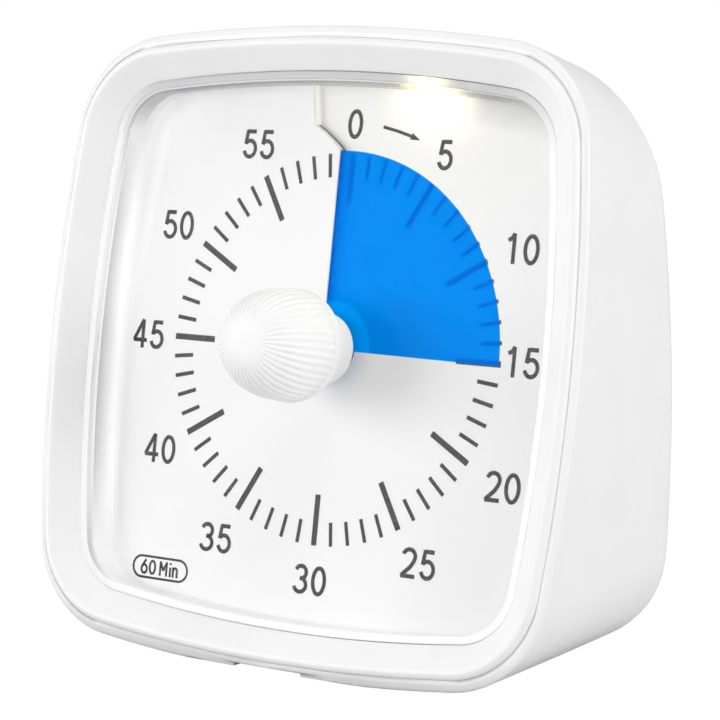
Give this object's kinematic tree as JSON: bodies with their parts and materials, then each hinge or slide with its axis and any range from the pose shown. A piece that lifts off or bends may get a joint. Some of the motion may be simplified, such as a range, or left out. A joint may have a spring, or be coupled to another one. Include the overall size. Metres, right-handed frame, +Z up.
{
  "type": "visual countdown timer",
  "caption": "Square-faced visual countdown timer with a translucent film disc drawn out of a slit dial by a ribbed knob, clear window, wedge housing and battery bay.",
  "frame": {"origin": "middle of the flat underside that the timer stands on, on the plane of left-right symmetry", "axes": "+Z up, the dial faces -Y, +X to the right as seen from the front"},
  "size_m": [0.11, 0.0595, 0.1083],
  "materials": {
    "white_shell": "satin moulded ABS",
    "white_matte": "fine matte moulded ABS",
    "clear_pane": "clear polished acrylic",
    "dial_print": "matte printed sheet",
    "blue_film": "coloured film",
    "knob_white": "satin moulded ABS",
    "steel": "turned steel",
    "brass": "stamped brass",
    "gear_plastic": "natural acetal",
    "movement_case": "moulded plastic",
    "copper": "enamelled copper wire",
    "magnet": "bonded magnet",
    "board": "solder mask",
    "warm_window": "frosted light window",
    "black_plastic": "moulded plastic",
    "cell_skin": "printed steel can",
    "nickel": "nickel-plated spring steel"
  },
  "bodies": {
    "housing": {"rear_shell": "white_shell", "front_bezel": "white_shell", "clear_lens": "clear_pane", "dial_tray": "white_matte", "dial_plate": "dial_print", "alarm_leaf": "brass", "movement_front": "movement_case", "movement_rear": "movement_case", "rotor": "magnet", "stator": "steel", "coil": "copper", "movement_screws": "steel", "led_board": "board", "night_light_window": "warm_window", "circuit_board": "board", "board_screws": "steel", "buzzer": "black_plastic", "volume_switch": "steel", "light_switch": "black_plastic", "battery_cell_a": "cell_skin", "battery_cell_b": "cell_skin", "contact_springs": "nickel", "contact_plates": "nickel", "case_screws": "steel"},
    "knob": {"knob": "knob_white", "knob_hub": "knob_white", "spindle": "steel", "clutch_washer": "steel", "spindle_clip": "steel", "alarm_cam": "gear_plastic"},
    "film": {"time_disc": "blue_film", "disc_boss": "blue_film"},
    "centre_wheel": {"centre_wheel": "brass"},
    "third_wheel": {"third_wheel": "gear_plastic"},
    "second_wheel": {"second_wheel": "gear_plastic"},
    "battery_door": {"battery_door": "white_shell"},
    "volume_slider": {"volume_slider": "white_matte"},
    "light_button": {"light_button": "white_matte"}
  },
  "joints": [
    {"name": "knob_turn", "type": "hinge", "parent": "housing", "child": "knob", "pos_m": [0, -0.012, 0.05268], "axis": [0, 0.9863, -0.165], "range_deg": [-90, 270]},
    {"name": "film_float", "type": "slide", "parent": "knob", "child": "film", "axis": [0, -0.9863, 0.165], "range_m": [-0.00047, 0.00143]},
    {"name": "centre_wheel_spin", "type": "hinge", "parent": "housing", "child": "centre_wheel", "pos_m": [0, -0.012, 0.05268], "axis": [0, 0.9863, -0.165], "continuous": true},
    {"name": "third_wheel_spin", "type": "hinge", "parent": "housing", "child": "third_wheel", "pos_m": [0.00951, -0.01257, 0.04926], "axis": [0, 0.9863, -0.165], "continuous": true},
    {"name": "second_wheel_spin", "type": "hinge", "parent": "housing", "child": "second_wheel", "pos_m": [0.00872, -0.01107, 0.05822], "axis": [0, 0.9863, -0.165], "continuous": true},
    {"name": "battery_door_hinge", "type": "hinge", "parent": "housing", "child": "battery_door", "pos_m": [0, 0.01988, 0.00728], "axis": [-1, 0, 0], "range_deg": [0, 85]},
    {"name": "volume_slide", "type": "slide", "parent": "housing", "child": "volume_slider", "axis": [1, 0, 0], "range_m": [-0.003, 0.003]},
    {"name": "light_button_press", "type": "slide", "parent": "housing", "child": "light_button", "axis": [0, -0.9962, -0.0872], "range_m": [0, 0.001], "stiffness_N_per_m": 400}
  ],
  "couplings": [
    {"joint": "film_float", "follows": "knob_turn", "m_per_rad": 0.00030239},
    {"joint": "third_wheel_spin", "follows": "centre_wheel_spin", "ratio": -4},
    {"joint": "second_wheel_spin", "follows": "centre_wheel_spin", "ratio": 16}
  ]
}
